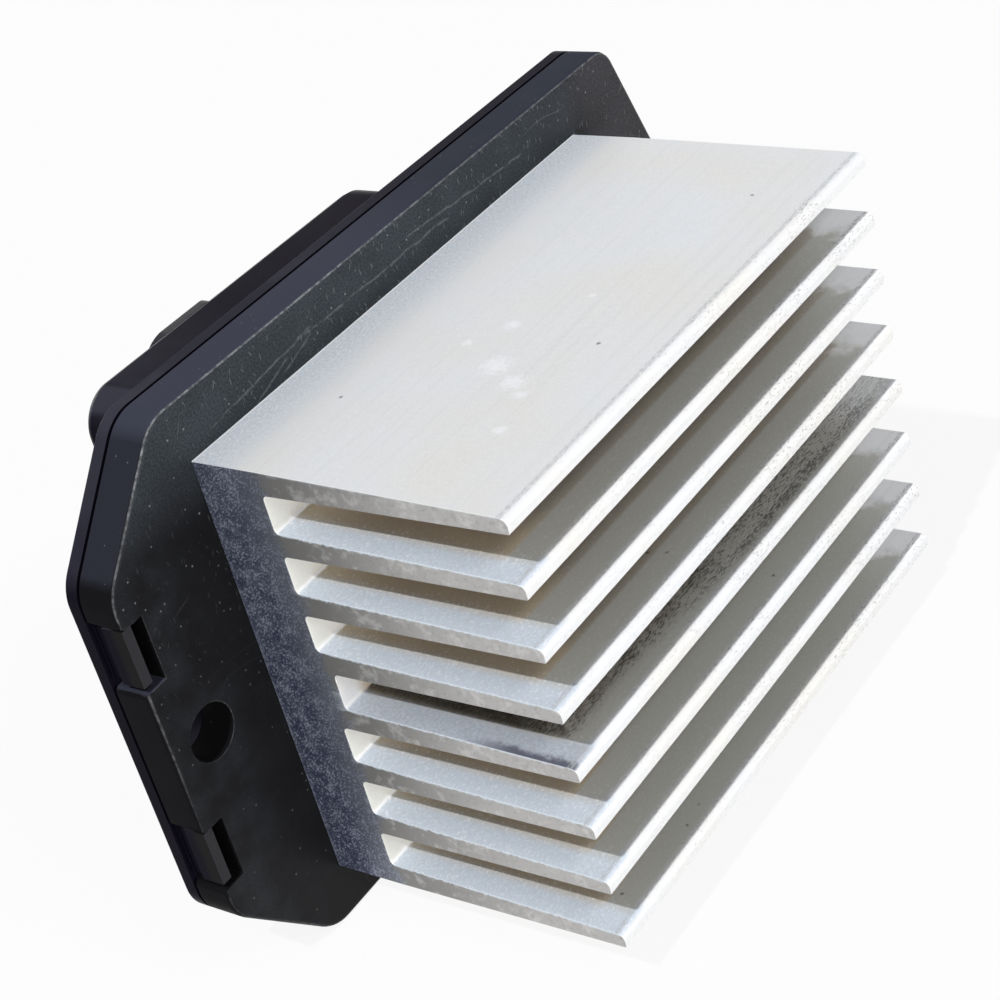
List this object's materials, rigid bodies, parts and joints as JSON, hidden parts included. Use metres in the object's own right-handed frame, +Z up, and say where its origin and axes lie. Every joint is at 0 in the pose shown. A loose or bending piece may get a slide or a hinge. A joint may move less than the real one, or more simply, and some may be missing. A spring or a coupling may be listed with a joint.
{
  "type": "blower motor resistor",
  "caption": "Electronic blower motor resistor: a finned aluminium heat sink on a black moulded plate, with a clip-on rear cover and a plug socket, screwed into a heater duct.",
  "frame": {"origin": "on the plate's front face, halfway between the two screw holes", "axes": "+X along the plate towards its narrow end, -Y out of the front face along the fins, +Z up"},
  "size_m": [0.09, 0.0551, 0.058],
  "materials": {
    "aluminium": "extruded, sawn ends, lightly scuffed",
    "housing_plastic": "moulded, fine texture, scratched and dusty",
    "cover_plastic": "moulded, smooth satin",
    "board": "glass fibre board with green solder mask",
    "steel": "zinc plated",
    "tinned": "tin plated",
    "terminal_brass": "bright brass",
    "chip_plastic": "moulded epoxy",
    "pad_silicone": "silicone sheet",
    "bush_plastic": "moulded",
    "can_sleeve": "shrunk sleeve",
    "bung_rubber": "moulded",
    "fuse_case": "drawn case",
    "shunt_alloy": "rolled copper nickel strip",
    "resistor_ceramic": "glazed film on ceramic",
    "capacitor_ceramic": "plain ceramic"
  },
  "bodies": {
    "root": {"heat_sink": "aluminium", "housing": "housing_plastic", "rear_cover": "cover_plastic", "circuit_board": "board", "board_screws": "steel", "sink_screws": "steel", "transistor_body": "chip_plastic", "transistor_tab": "tinned", "transistor_leads": "tinned", "insulator_pad": "pad_silicone", "insulator_bush": "bush_plastic", "transistor_washer": "steel", "transistor_screw": "steel", "power_terminal_1": "terminal_brass", "power_terminal_2": "terminal_brass", "signal_terminal_1": "terminal_brass", "signal_terminal_2": "terminal_brass", "capacitor_can": "can_sleeve", "capacitor_bung": "bung_rubber", "capacitor_leads": "tinned", "fuse_body": "fuse_case", "fuse_leads": "tinned", "shunt_resistor": "shunt_alloy", "control_chip": "chip_plastic", "chip_legs": "tinned", "clamp_diode": "chip_plastic", "diode_legs": "tinned", "chip_resistors": "resistor_ceramic", "chip_capacitors": "capacitor_ceramic"}
  },
  "joints": []
}
